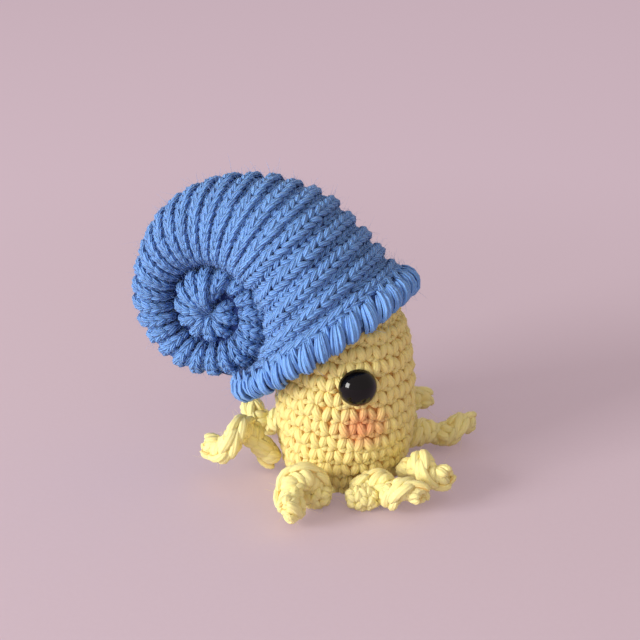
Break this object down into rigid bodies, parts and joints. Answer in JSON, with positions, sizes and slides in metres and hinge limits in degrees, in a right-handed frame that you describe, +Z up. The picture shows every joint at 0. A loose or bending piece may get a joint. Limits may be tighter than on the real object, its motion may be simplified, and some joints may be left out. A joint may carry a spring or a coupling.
{
  "type": "ammonite figurine",
  "caption": "Crocheted ammonite figurine: a stuffed yellow body with curly tentacles and domed plastic eyes, wearing a ribbed blue coiled shell over its head.",
  "frame": {"origin": "centre of the flat base panel, on the table", "axes": "+Z up, +X the way the animal faces, with the shell coiled in the XZ plane behind it"},
  "size_m": [0.0759, 0.0618, 0.0643],
  "materials": {
    "yellow_yarn": "crocheted cotton yarn, matt with a soft sheen",
    "blue_yarn": "crocheted cotton yarn, matt with a soft sheen",
    "filling": "loose white fibre",
    "eye_black": "polished",
    "washer_white": "moulded"
  },
  "bodies": {
    "figure": {"body": "yellow_yarn", "base_panel": "yellow_yarn", "base_seam": "yellow_yarn", "body_stuffing": "filling", "shell": "blue_yarn", "shell_edging": "blue_yarn", "shell_stuffing": "filling", "neck_seam": "blue_yarn"},
    "eye_left": {"left_eye": "eye_black", "left_eye_washer": "washer_white"},
    "eye_right": {"right_eye": "eye_black", "right_eye_washer": "washer_white"},
    "limb_1": {"tentacle_1": "yellow_yarn"},
    "limb_2": {"tentacle_2": "yellow_yarn"},
    "limb_3": {"tentacle_3": "yellow_yarn"},
    "limb_4": {"tentacle_4": "yellow_yarn"},
    "limb_5": {"tentacle_5": "yellow_yarn"},
    "limb_6": {"tentacle_6": "yellow_yarn"},
    "limb_7": {"tentacle_7": "yellow_yarn"},
    "limb_8": {"tentacle_8": "yellow_yarn"}
  },
  "joints": [
    {"name": "left_eye_turn", "type": "hinge", "parent": "figure", "child": "eye_left", "pos_m": [0.00634, 0.01192, 0.0255], "axis": [0.4695, 0.8829, 0], "continuous": true},
    {"name": "right_eye_turn", "type": "hinge", "parent": "figure", "child": "eye_right", "pos_m": [0.00634, -0.01192, 0.0255], "axis": [0.4695, -0.8829, 0], "continuous": true},
    {"name": "tentacle_1_bend", "type": "hinge", "parent": "figure", "child": "limb_1", "pos_m": [0.01445, -0.00526, 0.0034], "axis": [-0.342, -0.9397, 0], "range_deg": [-12, 20], "stiffness_Nm_per_rad": 0.001},
    {"name": "tentacle_2_bend", "type": "hinge", "parent": "figure", "child": "limb_2", "pos_m": [0.00769, -0.01332, 0.0034], "axis": [-0.866, -0.5, 0], "range_deg": [-12, 20], "stiffness_Nm_per_rad": 0.001},
    {"name": "tentacle_3_bend", "type": "hinge", "parent": "figure", "child": "limb_3", "pos_m": [-0.00027, -0.01538, 0.0034], "axis": [-0.9998, 0.0175, 0], "range_deg": [-12, 20], "stiffness_Nm_per_rad": 0.001},
    {"name": "tentacle_4_bend", "type": "hinge", "parent": "figure", "child": "limb_4", "pos_m": [-0.01332, -0.00769, 0.0034], "axis": [-0.5, 0.866, 0], "range_deg": [-12, 20], "stiffness_Nm_per_rad": 0.001},
    {"name": "tentacle_5_bend", "type": "hinge", "parent": "figure", "child": "limb_5", "pos_m": [-0.01445, 0.00526, 0.0034], "axis": [0.342, 0.9397, 0], "range_deg": [-12, 20], "stiffness_Nm_per_rad": 0.001},
    {"name": "tentacle_6_bend", "type": "hinge", "parent": "figure", "child": "limb_6", "pos_m": [-0.00722, 0.01358, 0.0034], "axis": [0.8829, 0.4695, 0], "range_deg": [-12, 25], "stiffness_Nm_per_rad": 0.001},
    {"name": "tentacle_7_bend", "type": "hinge", "parent": "figure", "child": "limb_7", "pos_m": [0.00576, 0.01426, 0.0034], "axis": [0.9272, -0.3746, 0], "range_deg": [-12, 25], "stiffness_Nm_per_rad": 0.001},
    {"name": "tentacle_8_bend", "type": "hinge", "parent": "figure", "child": "limb_8", "pos_m": [0.01195, 0.00968, 0.0034], "axis": [0.6293, -0.7771, 0], "range_deg": [-12, 25], "stiffness_Nm_per_rad": 0.001}
  ]
}
